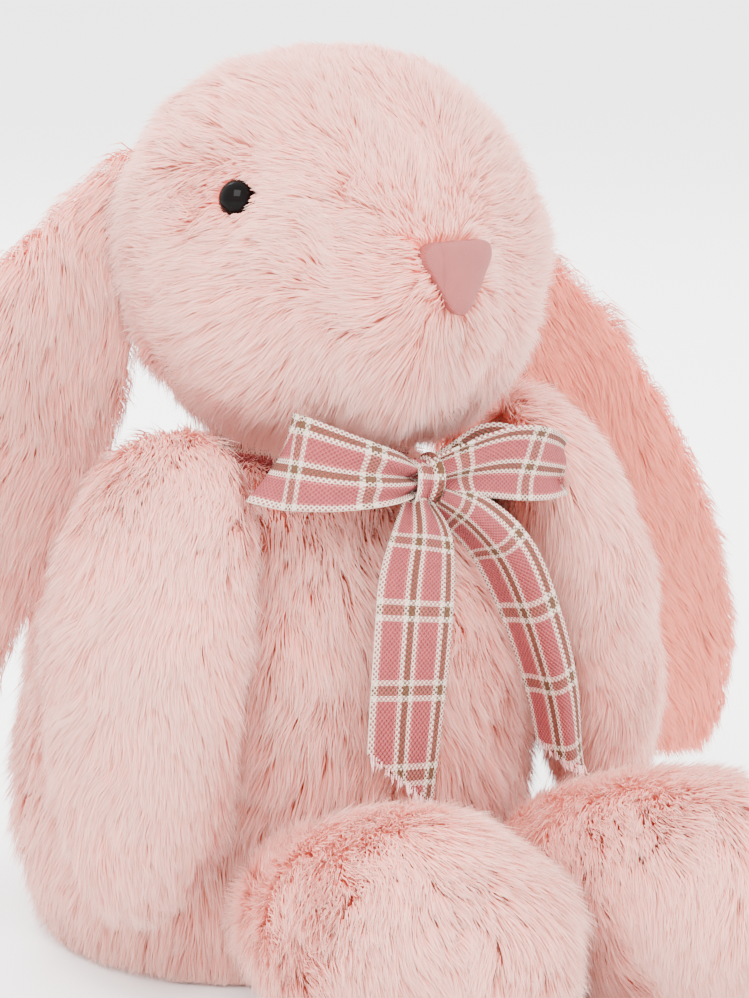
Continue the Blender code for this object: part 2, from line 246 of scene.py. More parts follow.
@dataclass
class Finish:
    """A material being written: its tree, its shader and the few nodes that finishes share."""

    name: str
    roughness: float = 0.9
    tree: bpy.types.NodeTree = field(init=False)
    material: bpy.types.Material = field(init=False)

    def __post_init__(self) -> None:
        """Starts from a new material with its Principled shader."""
        self.material = bpy.data.materials.new(self.name)
        self.material.use_nodes = True
        self.tree = self.material.node_tree
        self.shader = self.tree.nodes["Principled BSDF"]
        self.shader.inputs["Roughness"].default_value = self.roughness

    def node(
        self, kind: str, settings: dict[str, Any] | None = None, out: int | str = 0, **values: Any
    ) -> Term:
        """Adds any node.

        Args:
            kind: the node's type.
            settings: properties that are set first.
            out: which output comes back.
            **values: values or terms for its sockets, with underscores for spaces.

        Returns:
            The chosen output.
        """
        made = self.tree.nodes.new(kind)
        for key, value in (settings or {}).items():
            setattr(made, key, value)
        for key, value in values.items():
            plug(self.tree, made.inputs[key.replace("_", " ")], value)
        return Term(self.tree, made.outputs[out])

    def set(self, **values: Any) -> None:
        """Sets or links the shader's own sockets."""
        for key, value in values.items():
            plug(self.tree, self.shader.inputs[key.replace("_", " ")], value)

    def ramp(self, factor: Term, stops: list[tuple[float, Triple]]) -> Term:
        """A colour that runs through stops of place and colour.

        Args:
            factor: how far along the colours it is, from 0 to 1.
            stops: each stop's place and colour.

        Returns:
            The colour.
        """
        made = self.tree.nodes.new("ShaderNodeValToRGB")
        band = made.color_ramp.elements
        while len(band) < len(stops):
            band.new(0.5)
        for stop, (place, colour) in zip(band, stops):
            stop.position = place
            stop.color = (*colour, 1.0)
        plug(self.tree, made.inputs["Fac"], factor)
        return Term(self.tree, made.outputs["Color"])

    def mix(self, factor: Term, first: Any, second: Any) -> Term:
        """A colour between two colours.

        Args:
            factor: how far along the colours it is, from 0 to 1.
            first: the colour at 0.
            second: the colour at 1.

        Returns:
            The mixed colour.
        """
        made = self.tree.nodes.new("ShaderNodeMix")
        made.data_type = "RGBA"
        plug(self.tree, made.inputs[0], factor)
        for place, value in ((6, first), (7, second)):
            plug(self.tree, made.inputs[place], value if isinstance(value, Term) else (*value, 1.0))
        return Term(self.tree, made.outputs[2])

    def map_axes(self, layer: str) -> tuple[Term, Term]:
        """The two coordinates of a piece's own map.

        Args:
            layer: the map's name.

        Returns:
            The map's two coordinates.
        """
        place = self.node("ShaderNodeUVMap", {"uv_map": layer})
        split = self.tree.nodes.new("ShaderNodeSeparateXYZ")
        plug(self.tree, split.inputs[0], place)
        return Term(self.tree, split.outputs[0]), Term(self.tree, split.outputs[1])

    def noise(self, scale: float, detail: float = 2.0) -> Term:
        """Noise on the object's own coordinates, scale in swells per metre."""
        place = self.node("ShaderNodeTexCoord", out="Object")
        return self.node("ShaderNodeTexNoise", Vector=place, Scale=scale, Detail=detail)

    def bump(self, height: Term, distance: float, strength: float = 1.0) -> None:
        """Feeds the shader's normal from a height."""
        self.set(Normal=self.node("ShaderNodeBump", Height=height, Distance=distance, Strength=strength))


@dataclass(frozen=True)
class FurDye:
    """The colours of a pile from its root to its tip, as linear light."""

    root: Triple
    middle: Triple
    tip: Triple
    middle_at: float = 0.42
    tip_at: float = 0.92
    variation: float = 0.55
    glow: float = 0.42

    def blades(self, name: str) -> bpy.types.Material:
        """The hair's material: dyed along each blade by the shared map, and letting light through.

        Args:
            name: the name of the finish.

        Returns:
            The finished material.
        """
        finish = Finish(name, roughness=0.72)
        tint, along = finish.map_axes("OFBake")
        dyed = finish.ramp(along, [(0.0, self.root), (self.middle_at, self.middle), (self.tip_at, self.tip)])
        deep = finish.mix(0.55, self.middle, self.tip)
        colour = finish.mix((tint - 0.5).size() * self.variation, dyed, deep)
        finish.set(Base_Color=colour, Sheen_Weight=0.25, Sheen_Roughness=0.5, Specular_IOR_Level=0.25)
        thin = finish.node("ShaderNodeBsdfTranslucent", Color=colour)
        join = finish.tree.nodes.new("ShaderNodeMixShader")
        join.inputs[0].default_value = self.glow
        finish.tree.links.new(finish.shader.outputs[0], join.inputs[1])
        finish.tree.links.new(thin.socket, join.inputs[2])
        finish.tree.links.new(join.outputs[0], finish.tree.nodes["Material Output"].inputs["Surface"])
        return finish.material

    def cloth(self, name: str) -> bpy.types.Material:
        """The knitted backing that shows between the hairs.

        Args:
            name: the name of the finish.

        Returns:
            The finished material.
        """
        finish = Finish(name, roughness=0.95)
        patch = finish.noise(60.0, 3.0)
        knit = finish.noise(900.0, 1.0)
        finish.set(Base_Color=finish.mix(patch, self.root, self.middle))
        finish.bump(knit, 0.0006)
        return finish.material


PALE_FUR = FurDye(root=(0.88, 0.14, 0.08), middle=(0.95, 0.33, 0.24), tip=(0.985, 0.68, 0.60))
EAR_FUR = FurDye(root=(0.84, 0.11, 0.06), middle=(0.90, 0.21, 0.13), tip=(0.94, 0.37, 0.27))


# ---------------------------------------------------------------- sewn forms


def select_nothing() -> None:
    """Deselects everything, because an operator acts on all that is selected."""
    bpy.ops.object.select_all(action="DESELECT")


def new_ball(name: str, segments: int, rings: int) -> bpy.types.Object:
    """A ball of radius one, as the start of a piece.

    Args:
        name: the piece's name.
        segments: its faces round the middle.
        rings: its rows of faces from pole to pole.

    Returns:
        The named ball.
    """
    select_nothing()
    bpy.ops.mesh.primitive_uv_sphere_add(segments=segments, ring_count=rings, radius=1.0)
    return named(name)


def named(name: str) -> bpy.types.Object:
    """Names the primitive that was just added, and its mesh.

    Args:
        name: the piece's name.

    Returns:
        The piece.
    """
    obj = bpy.context.object
    obj.name = name
    obj.data.name = name
    return obj


def dress(
    obj: bpy.types.Object, material: bpy.types.Material, body: str, replaces: tuple[str, ...] = ()
) -> None:
    """Gives a piece its finish and ties it to the frame.

    Args:
        obj: the piece.
        material: its finish.
        body: the frame's body that it moves with.
        replaces: the CAD nodes that it stands for.
    """
    obj.data.materials.append(material)
    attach(obj, body)
    if replaces:
        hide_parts(*replaces)


def put_points(obj: bpy.types.Object, points: Array) -> None:
    """Moves a mesh's points to new places and turns its faces outward.

    Args:
        obj: the piece.
        points: the new places, in metres.
    """
    obj.data.vertices.foreach_set("co", np.ascontiguousarray(points, dtype=np.float32).ravel())
    work = bmesh.new()
    work.from_mesh(obj.data)
    work.normal_update()
    bmesh.ops.recalc_face_normals(work, faces=work.faces)
    work.to_mesh(obj.data)
    work.free()
    obj.data.update()


def get_points(mesh: bpy.types.Mesh) -> Array:
    """A mesh's points as rows.

    Args:
        mesh: the mesh to read.

    Returns:
        A row of three metres for each point.
    """
    flat = np.empty(len(mesh.vertices) * 3, dtype=np.float32)
    mesh.vertices.foreach_get("co", flat)
    return flat.reshape(-1, 3).astype(float)


def get_triangles(mesh: bpy.types.Mesh) -> Array:
    """A mesh's triangles as rows of three point numbers, sorted because a mesh may list them in any order.

    Args:
        mesh: the mesh to read.

    Returns:
        A row for each triangle.
    """
    mesh.calc_loop_triangles()
    corners = np.empty(len(mesh.loop_triangles) * 3, dtype=np.int32)
    mesh.loop_triangles.foreach_get("vertices", corners)
    tris = corners.reshape(-1, 3)
    turned = (tris.argmin(axis=1)[:, None] + np.arange(3)) % 3
    tris = np.take_along_axis(tris, turned, axis=1)
    return tris[np.lexsort(tris.T[::-1])]


def get_normals(mesh: bpy.types.Mesh) -> Array:
    """A mesh's point normals as rows, summed in a fixed order so that every run gives the same ones.

    Args:
        mesh: the mesh to read.

    Returns:
        A row for each point.
    """
    points, tris = get_points(mesh), get_triangles(mesh)
    a, b, c = (points[tris[:, k]] for k in range(3))
    facing = np.cross(b - a, c - a)
    total = np.zeros_like(points)
    for k in range(3):
        np.add.at(total, tris[:, k], facing)
    return unit(total)


def corner_points(mesh: bpy.types.Mesh) -> Array:
    """The point number at each corner of a mesh's faces.

    Args:
        mesh: the mesh to read.

    Returns:
        One number for each corner.
    """
    index = np.empty(len(mesh.loops), dtype=np.int32)
    mesh.loops.foreach_get("vertex_index", index)
    return index


def lay_map(mesh: bpy.types.Mesh, name: str, flat: Array) -> None:
    """Names a mesh's own map and lays its points on flat places.

    Args:
        mesh: the mesh to change.
        name: the map's name.
        flat: a flat place for each point.
    """
    layer = mesh.uv_layers.active
    layer.name = name
    layer.data.foreach_set("uv", flat[corner_points(mesh)].astype(np.float32).ravel())


@dataclass
class SewnForm:
    """A stuffed fabric form: a ball drawn out to a surface, and set in by the depth of its pile."""

    name: str
    body: str
    surface: Surface
    replaces: tuple[str, ...]
    material: bpy.types.Material
    slot: str = "fur"
    inset: float = FABRIC_DEPTH
    segments: int = 72
    rings: int = 48
    fill: float = 0.7
    shallow: Callable[[Array], Array] | None = None

    def build(self) -> bpy.types.Object:
        """Models the form and ties it to the frame.

        Returns:
            The finished piece.
        """
        obj = new_ball(self.name, self.segments, self.rings)
        put_points(obj, self.surface(get_points(obj.data)))
        if self.inset:
            outline = get_points(obj.data)
            depth = self.inset * (self.shallow(outline) if self.shallow else np.ones(len(outline)))
            moved = outline - get_normals(obj.data) * depth[:, None]
            moved[:, 2] -= self.inset * smooth((SEAT_HEIGHT - outline[:, 2]) / SEAT_HEIGHT)
            moved[:, 2] = np.maximum(moved[:, 2], FABRIC_CLEARANCE)
            put_points(obj, moved)
        bpy.ops.object.shade_smooth()
        dress(obj, self.material, self.body, self.replaces)
        log.info("sewn %s: %d faces", self.name, len(obj.data.polygons))
        return obj


@dataclass
class Coat:
    """A coat of hair over a sewn form, one blade a hair or a lock of a few hairs."""

    name: str
    count: int
    comb: Surface
    material: bpy.types.Material
    length: float = 0.013
    width: float = 0.00042
    lean: float = 0.92
    droop: float = 0.0012
    clump: float = 0.34
    clump_size: int = 46
    slot: str = "fur"
    seed: int = 1
    favour: Callable[[Array, Array], Array] | None = None
    trim: Callable[[Array], Array] | None = None

    def roots(self, skin: bpy.types.Object, rng: np.random.Generator) -> tuple[Array, Array]:
        """Scatters roots evenly over the skin, or more thickly where the coat favours a place.

        Args:
            skin: the sewn form.
            rng: the seeded source of chance.

        Returns:
            Root places and the skin's normals there.
        """
        tris = get_triangles(skin.data)
        points, normals = get_points(skin.data), get_normals(skin.data)
        a, b, c = (points[tris[:, k]] for k in range(3))
        area = np.linalg.norm(np.cross(b - a, c - a), axis=1)
        middle_normal = unit(normals[tris].mean(axis=1))
        if self.favour is not None:
            area = area * self.favour((a + b + c) / 3, middle_normal)
        if self.trim is not None:
            area = area * (self.trim((a + b + c) / 3) > 0.02)
        chosen = rng.choice(len(tris), size=self.count, p=area / area.sum())
        u, v = rng.random(self.count), rng.random(self.count)
        over = u + v > 1
        u[over], v[over] = 1 - u[over], 1 - v[over]
        w = 1 - u - v
        place = a[chosen] * w[:, None] + b[chosen] * u[:, None] + c[chosen] * v[:, None]
        corner = normals[tris[chosen]]
        normal = unit(corner[:, 0] * w[:, None] + corner[:, 1] * u[:, None] + corner[:, 2] * v[:, None])
        return place, normal

    def strands(self, place: Array, normal: Array, rng: np.random.Generator) -> tuple[Array, Array]:
        """Grows each hair from its root.

        Args:
            place: roots.
            normal: the skin's normals at the roots.
            rng: the seeded source of chance.

        Returns:
            Each hair's middle and tip.
        """
        broad = 0.42 * ripple_vector(place, 0.016, self.seed)
        fine = 0.22 * ripple_vector(place, 0.005, self.seed + 7)
        flow = unit(self.comb(place)) + broad + fine
        flow = flow + rng.normal(scale=0.16, size=flow.shape)
        flow = unit(flow - normal * (flow * normal).sum(axis=1, keepdims=True))
        uneven = 0.16 * ripple(place, 0.02, self.seed + 3)
        length = self.length * (1 + uneven + rng.normal(scale=0.10, size=len(place)))
        if self.trim is not None:
            length = length * self.trim(place)
        tousle = 0.16 * ripple(place, 0.013, self.seed + 5)
        lean = self.lean + tousle + rng.normal(scale=0.12, size=len(place))
        low, high = (lean * 0.62)[:, None], (lean * 1.28)[:, None]
        half = (length / 2)[:, None]
        middle = place + half * (normal * np.cos(low) + flow * np.sin(low))
        tip = middle + half * (normal * np.cos(high) + flow * np.sin(high))
        tip[:, 2] -= self.droop
        seeds = rng.choice(len(place), size=max(1, len(place) // self.clump_size), replace=False)
        tree = kdtree.KDTree(len(seeds))
        for number, index in enumerate(seeds):
            tree.insert(place[index], number)
        tree.balance()
        nearest = np.fromiter((seeds[tree.find(p)[1]] for p in place), dtype=np.int64, count=len(place))
        pull = self.clump * rng.uniform(0.4, 1.3, size=(len(place), 1))
        tip += (tip[nearest] - tip) * pull
        middle += (middle[nearest] - middle) * (pull * 0.35)
        return middle, tip

    def build(self, skin: bpy.types.Object, body: str) -> bpy.types.Object:
        """Lays the coat over a skin.

        Args:
            skin: the sewn form that the hair grows from.
            body: the frame's body that it moves with.

        Returns:
            The coat as one mesh piece.
        """
        rng = np.random.default_rng(self.seed)
        place, normal = self.roots(skin, rng)
        middle, tip = self.strands(place, normal, rng)
        run = unit(tip - place)
        across = unit(np.cross(run, normal))
        twist = rng.normal(scale=0.55, size=(len(place), 1)).clip(-1.1, 1.1)
        across = across * np.cos(twist) + np.cross(run, across) * np.sin(twist)
        half = self.width / 2 * rng.uniform(0.7, 1.3, size=(len(place), 1))
        foot, waist = across * half, across * half * 0.85
        points = np.stack([place - foot, place + foot, middle + waist, middle - waist, tip], axis=1)
        points[:, :, 2] = np.maximum(points[:, :, 2], HAIR_CLEARANCE)
        obj = blade_mesh(self.name, points, rng)
        soft = unit(normal * 1.0 + run * 0.25 + rng.normal(scale=0.22, size=normal.shape))
        obj.data.normals_split_custom_set_from_vertices(np.repeat(soft, BLADE_POINTS, axis=0))
        dress(obj, self.material, body)
        log.info("coat %s: %d hairs", self.name, self.count)
        return obj


def blade_mesh(name: str, points: Array, rng: np.random.Generator) -> bpy.types.Object:
    """A mesh of five-point blades: a four-sided shaft and a pointed tip.

    Args:
        name: the piece's name.
        points: for each blade its two root points, two middle points and tip.
        rng: the seeded source of each blade's tint.

    Returns:
        The linked object.
    """
    count = len(points)
    mesh = bpy.data.meshes.new(name)
    mesh.vertices.add(count * BLADE_POINTS)
    mesh.vertices.foreach_set("co", points.reshape(-1).astype(np.float32))
    corners = (np.arange(count)[:, None] * BLADE_POINTS + BLADE_CORNERS).ravel()
    mesh.loops.add(len(corners))
    mesh.loops.foreach_set("vertex_index", corners.astype(np.int32))
    mesh.polygons.add(count * BLADE_FACES)
    starts = (np.arange(count)[:, None] * len(BLADE_CORNERS) + np.array([0, 4])).ravel()
    mesh.polygons.foreach_set("loop_start", starts.astype(np.int32))
    mesh.polygons.foreach_set("use_smooth", np.ones(len(starts), dtype=bool))
    mesh.update(calc_edges=True)
    tint = rng.uniform(0.03, 0.97, size=(count, 1))
    shared = np.stack([tint + BLADE_ACROSS, np.repeat(BLADE_ALONG[None, :], count, axis=0)], axis=2)
    layer = mesh.uv_layers.new(name="OFBake")
    layer.data.foreach_set("uv", shared.reshape(-1).astype(np.float32))
    obj = bpy.data.objects.new(name, mesh)
    bpy.context.scene.collection.objects.link(obj)
    return obj


# ---------------------------------------------------------------- the parts' surfaces


def towards_front(_: Array, normal: Array) -> Array:
    """Grows hair more thickly on the front and right, and on the top, than behind."""
    ahead = normal @ np.array([-0.45, -0.85, 0.25])
    return 0.75 + 0.9 * np.clip(ahead + 0.15, 0.0, 1.0)


def swell(p: Array, way: Triple, spread: float) -> Array:
    """A round bump on the unit ball: 1 in one direction, fading over an angle.

    Args:
        p: points on the unit ball, a row for each.
        way: the direction of the bump's middle.
        spread: the angle over which it fades, in radians.

    Returns:
        One value for each point.
    """
    axis = np.array(way) / np.linalg.norm(way)
    angle = np.arccos(np.clip(unit(p) @ axis, -1, 1))
    return np.exp(-((angle / spread) ** 2))


@dataclass
class Torso:
    """The egg-shaped torso with its flat seat, and the tail."""

    radius: float = 0.075
    widest: float = 0.058
    rise: float = 0.097
    drop: float = 0.090
    squareness: float = 2.4
    front_hairs: int = 62000
    back_hairs: int = 35000
    tail_hairs: int = 12000

    def surface(self, p: Array) -> Array:
        """The outline of the torso's fur.

        Args:
            p: points on the unit ball, a row for each.

        Returns:
            Places on the outline, in metres.
        """
        z = self.widest + p[:, 2] * np.where(p[:, 2] > 0, self.rise, self.drop)
        reach = self.radius * np.maximum(0.0, 1 - np.abs(p[:, 2]) ** self.squareness) ** (1 / self.squareness)
        level = np.maximum(1e-9, np.hypot(p[:, 0], p[:, 1]))
        lean = -NECK_LEAN * (np.maximum(0.0, z) / (self.widest + self.rise)) ** 2
        across, deep = reach * p[:, 0] / level, reach * p[:, 1] / level + lean
        places = np.stack([across, deep, np.maximum(0.0, z)], axis=1)
        puff = 0.0012 * ripple(places, 0.035, 11)
        return places + unit(places * [1, 1, 0.2]) * puff[:, None] * (z > SEAT_HEIGHT)[:, None]

    def comb(self, places: Array) -> Array:
        """The torso's hair falls straight down and spreads a little to the sides."""
        return np.stack([places[:, 0] * 4, places[:, 1] * 2, np.full(len(places), -1.0)], axis=1)

    def tail_surface(self, p: Array) -> Array:
        """The outline of the tail."""
        centre, half = box_facts("tail_skin")
        return centre + np.stack([p[:, 0] * half[0], -p[:, 2] * half[1], p[:, 1] * half[2]], axis=1)

    def build(self, cloth: bpy.types.Material, hair: bpy.types.Material) -> None:
        """Makes the torso, its coat in two pieces, and the tail.

        Args:
            cloth: the finish of the fabric under the hair.
            hair: the finish of the hair.
        """
        skin = SewnForm("torso_fabric", "torso", self.surface, ("torso_skin",), cloth, rings=64).build()
        Coat("torso_fur_front", self.front_hairs, self.comb, hair, length=0.0135, seed=21,
             favour=lambda q, n: (n[:, 1] < 0.25) * (n[:, 2] > -0.6) * towards_front(q, n),
             ).build(skin, "torso")
        Coat("torso_fur_back", self.back_hairs, self.comb, hair, length=0.0140, width=0.00055, seed=22,
             favour=lambda q, n: (n[:, 1] >= 0.20) * (n[:, 2] > -0.6)).build(skin, "torso")
        tail = SewnForm("tail_fabric", "torso", self.tail_surface, ("tail_skin",), cloth,
                        segments=40, rings=24).build()
        Coat("tail_fur", self.tail_hairs, lambda q: np.tile([0.0, 0.35, -1.0], (len(q), 1)), hair,
             length=0.0140, width=0.0005, lean=0.7, seed=23).build(tail, "torso")


@dataclass
class Face:
    """The head, the bead eyes and the cloth nose."""

    pile: float = 0.0125
    eye_radius: float = 0.0054
    nose_width: float = 0.0112
    nose_lift: float = 0.0012
    face_hairs: int = 66000
    back_hairs: int = 42000

    def __post_init__(self) -> None:
        """Takes the head's and the eyes' places from the frame."""
        crown = np.array(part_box("head_skin")[1])
        self.centre = np.array([0.0, -0.030, crown[2] - 0.059])
        self.radii = np.array([0.061, 0.060, 0.059])
        self.nose = box_facts("nose_patch")[0]
        self.eyes = {side: self.eye_place(side) for side in Side}

    def eye_way(self, side: Side) -> Array:
        """The direction of an eye from the middle of the head."""
        level = np.sqrt(1 - EYE_HEIGHT**2)
        return np.array([side.value * sin(EYE_AZIMUTH) * level, -cos(EYE_AZIMUTH) * level, EYE_HEIGHT])

    def eye_place(self, side: Side) -> tuple[Array, Array]:
        """An eye's seat on the fur's outline and the way it looks."""
        way = self.eye_way(side)
        return self.surface(way[None, :])[0], unit((way / self.radii)[None, :])[0]

    def surface(self, p: Array) -> Array:
        """The outline of the head's fur: round, with soft cheeks, a low muzzle and a groove under the nose.

        Args:
            p: points on the unit ball, a row for each.

        Returns:
            Places on the outline, in metres.
        """
        rise = 0.0060 * swell(p, (0.0, -1.0, -0.42), 0.45)
        cheeks = 0.0040 * (swell(p, (0.62, -0.60, -0.50), 0.42) + swell(p, (-0.62, -0.60, -0.50), 0.42))
        sockets = 0.0014 * sum(swell(p, tuple(self.eye_way(side)), 0.16) for side in Side)
        level = smooth((-p[:, 2] - 0.10) / 0.25) * (p[:, 1] < 0)
        groove = 0.0030 * np.exp(-((p[:, 0] / 0.075) ** 2)) * level
        puff = 0.0012 * ripple(p * 0.06, 0.03, 5)
        swelling = np.maximum(rise + cheeks - sockets - groove + puff, -0.0010)
        return self.centre + p * self.radii + p * swelling[:, None]

    def shallow(self, places: Array) -> Array:
        """The share of the pile's depth that is kept: less round the nose and eyes, where the hair is short.

        Args:
            places: places on the skin, in metres.

        Returns:
            A share for each place.
        """
        keep = 1 - 1.15 * np.exp(-((np.linalg.norm(places - self.nose, axis=1) / 0.017) ** 2))
        for spot, _ in self.eyes.values():
            away = np.linalg.norm(places - spot, axis=1)
            keep = np.minimum(keep, 1 - 0.45 * np.exp(-((away / 0.010) ** 2)))
        return keep

    def comb(self, places: Array) -> Array:
        """The head's hair runs back from the nose and falls down the cheeks.

        Args:
            places: places on the skin, in metres.

        Returns:
            The way the hair lies at each place.
        """
        away = unit(places - self.nose)
        low = smooth((self.centre[2] - 0.004 - places[:, 2]) / 0.045)
        behind = smooth((places[:, 1] - self.centre[1]) / 0.040)
        fall = np.stack([np.zeros(len(places)), 0.30 * (1 - behind), -0.75 * low - 1.9 * behind], axis=1)
        return away + fall

    def trim(self, places: Array) -> Array:
        """Shorter hair round the eyes and the nose, and none under them.

        Args:
            places: places on the skin, in metres.

        Returns:
            The share of its length that each hair keeps.
        """
        bare = 0.0046
        keep = np.ones(len(places))
        for spot, way in self.eyes.values():
            offset = places - spot
            offset = offset - (offset @ way)[:, None] * way
            near = np.linalg.norm(offset, axis=1) + (((places - spot) @ way) < -0.03) * 1.0
            keep = np.minimum(keep, 0.42 + 0.58 * smooth((near - bare) / 0.0150))
            keep = np.where(near < bare, 0.0, keep)
        ahead = places[:, 1] < self.centre[1]
        across, height = places[:, 0] - self.nose[0], places[:, 2] - self.nose[2] - self.nose_lift
        reach = self.nose_outline(np.arctan2(height, across)) * self.nose_width * 0.90
        inside = np.hypot(across, height) - reach
        patch = np.where(inside < -0.0008, 0.0, 0.58 + 0.42 * smooth(inside / 0.0150))
        return np.where(ahead, np.minimum(keep, patch), keep)

    def build(self, cloth: bpy.types.Material, hair: bpy.types.Material) -> None:
        """Makes the head with its coat in two pieces, and dresses the face.

        Args:
            cloth: the finish of the fabric under the hair.
            hair: the finish of the hair.
        """
        skin = SewnForm("head_fabric", "head", self.surface, ("head_skin",), cloth, segments=96, rings=64,
                        shallow=self.shallow).build()
        middle = self.centre[1]
        Coat("head_fur_face", self.face_hairs, self.comb, hair, length=self.pile, width=0.00038, seed=31,
             favour=lambda q, n: (q[:, 1] < middle + 0.012) * towards_front(q, n),
             trim=self.trim).build(skin, "head")
        Coat("head_fur_back", self.back_hairs, self.comb, hair, length=0.0130, width=0.00048, seed=32,
             favour=lambda q, n: (q[:, 1] >= middle + 0.010) * 1.0, trim=self.trim).build(skin, "head")
        for side in Side:
            self.build_eye(side)
        self.build_nose()

    def build_eye(self, side: Side) -> None:
        """A glossy bead eye on a darker moulded rim.

        Args:
            side: the rabbit's left or right.
        """
        spot, way = self.eyes[side]
        turn = Vector(way).to_track_quat("Z", "Y").to_matrix().to_4x4()
        seat = Matrix.Translation(Vector(spot - way * 0.0034)) @ turn
        bead = new_ball("eye_bead_" + side.word, 48, 32)
        p = get_points(bead.data)
        depth = np.where(p[:, 2] > 0, 0.0048, 0.0030)
        put_points(bead, p * np.stack([np.full(len(p), self.eye_radius)] * 2 + [depth], axis=1))
        self.seat_eye(bead, seat, EYE_GLOSS, ("eye_" + side.word,))
        select_nothing()
        bpy.ops.mesh.primitive_torus_add(major_segments=48, minor_segments=12,
                                         major_radius=self.eye_radius * 0.985, minor_radius=0.00062)
        self.seat_eye(named("eye_rim_" + side.word), seat, EYE_RIM, ())

    def seat_eye(
        self, obj: bpy.types.Object, seat: Matrix, material: bpy.types.Material, replaces: tuple[str, ...]
    ) -> None:
        """Moves a piece of the eye to its seat and finishes it.

        Args:
            obj: the piece.
            seat: the eye's place and turn.
            material: its finish.
            replaces: the CAD nodes that it stands for.
        """
        obj.data.transform(seat)
        bpy.ops.object.shade_smooth()
        dress(obj, material, "head", replaces)

    def nose_outline(self, angle: Array) -> Array:
        """The soft triangle's reach from its middle at an angle, point down, as a share of its width."""
        corner = np.cos(3 * (angle + pi / 2))
        return 0.830 + 0.17 * corner + 0.040 * np.cos(6 * (angle + pi / 2))

    def build_nose(self) -> None:
        """The nose: a padded triangle of woven cloth, sewn down all round."""
        obj = new_ball("nose_cloth", 96, 48)
        p = get_points(obj.data)
        angle = np.arctan2(p[:, 1], p[:, 0])
        flatness = np.hypot(p[:, 0], p[:, 1])
        taper = np.where(p[:, 2] < 0, flatness**0.35, flatness)
        reach = self.nose_outline(angle) * self.nose_width * 1.08 * taper
        x, z = reach * np.cos(angle), reach * np.sin(angle)
        depth = np.where(p[:, 2] > 0, 0.0022 * np.abs(p[:, 2]) ** 0.9, -0.0085 * np.abs(p[:, 2]) ** 0.8)
        crease = 0.0005 * np.exp(-(((x + 0.0062 + z * 0.10) / 0.0007) ** 2)) * (p[:, 2] > 0)
        bow = 0.0012 * (x / 0.011) ** 2
        y = bow - (depth - crease)
        put_points(obj, np.stack([x, y, z + self.nose_lift], axis=1) + self.nose)
        lay_map(obj.data, "cloth", (get_points(obj.data) - self.nose)[:, [0, 2]])
        bpy.ops.object.shade_smooth()
        dress(obj, NOSE_CLOTH, "head", ("nose_patch",))
        log.info("nose laid at %s", self.nose.round(4))


